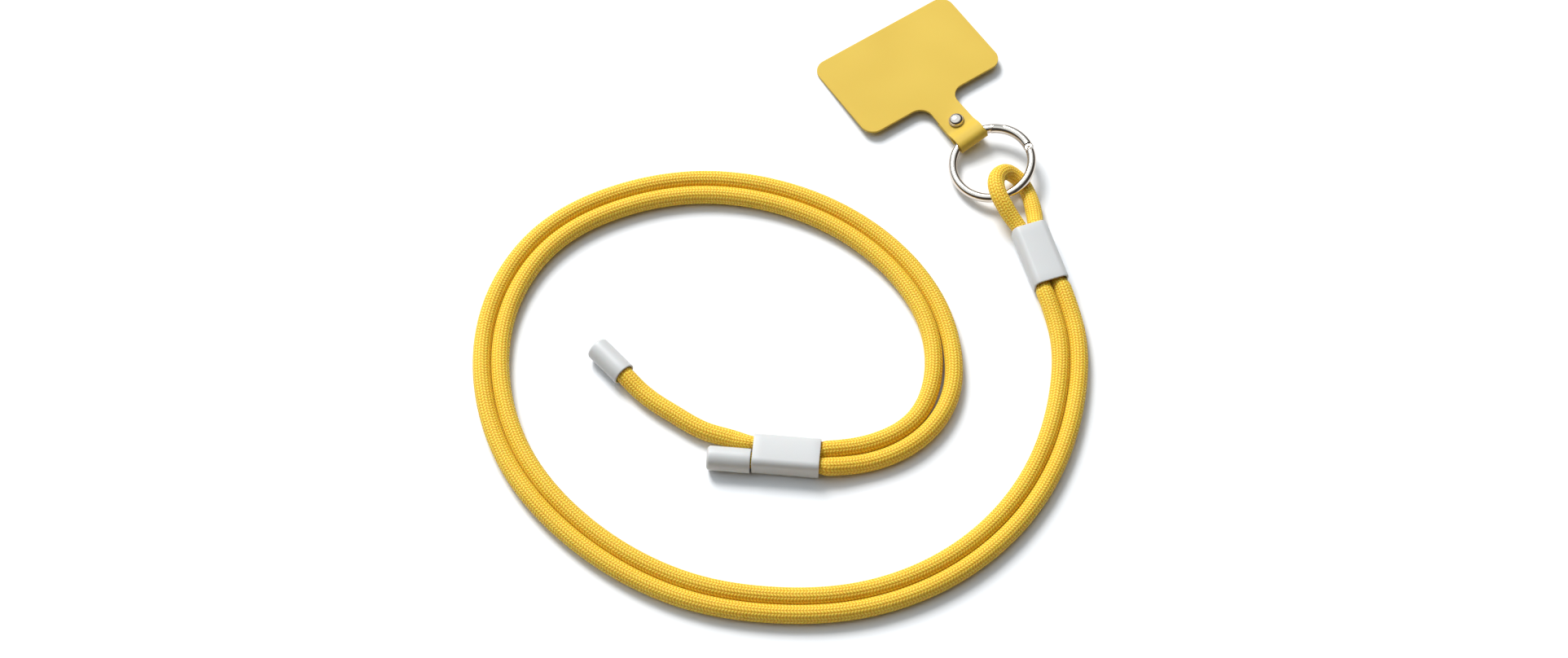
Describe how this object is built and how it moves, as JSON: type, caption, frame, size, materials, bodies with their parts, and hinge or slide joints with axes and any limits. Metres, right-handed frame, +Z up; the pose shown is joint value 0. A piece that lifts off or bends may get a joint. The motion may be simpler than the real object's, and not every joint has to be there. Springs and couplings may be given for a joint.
{
  "type": "phone crossbody strap",
  "caption": "Braided cord strap laid double in a spiral, with flattened sleeves, end caps, a spring-gate ring and a flat tab that sits between a phone and its case.",
  "frame": {"origin": "on the table, under the middle of the hard pieces", "axes": "+Z up off the table, +Y from the slider sleeve towards the tab, +X towards the loop sleeve"},
  "size_m": [0.2349, 0.2776, 0.0148],
  "materials": {
    "tab_sheet": "smooth matte yellow sheet",
    "polished_nickel": "polished nickel plate",
    "braided_cord": "yellow herringbone braid",
    "white_plastic": "satin white moulding, no lettering"
  },
  "bodies": {
    "strap": {"phone_tab": "tab_sheet", "snap_cap": "polished_nickel", "snap_socket": "polished_nickel", "spring_ring": "polished_nickel", "gate_pin": "polished_nickel", "cord": "braided_cord", "loop_sleeve": "white_plastic", "slider_sleeve": "white_plastic", "end_cap_short": "white_plastic", "end_cap_tail": "white_plastic"},
    "gate": {"ring_gate": "polished_nickel"}
  },
  "joints": [
    {"name": "gate_hinge", "type": "hinge", "parent": "strap", "child": "gate", "pos_m": [0.07899, 0.03169, 0.00933], "axis": [-0.1817, -0.0491, 0.9821], "range_deg": [0, 25], "stiffness_Nm_per_rad": 0.03, "springref_deg": -17.19}
  ]
}
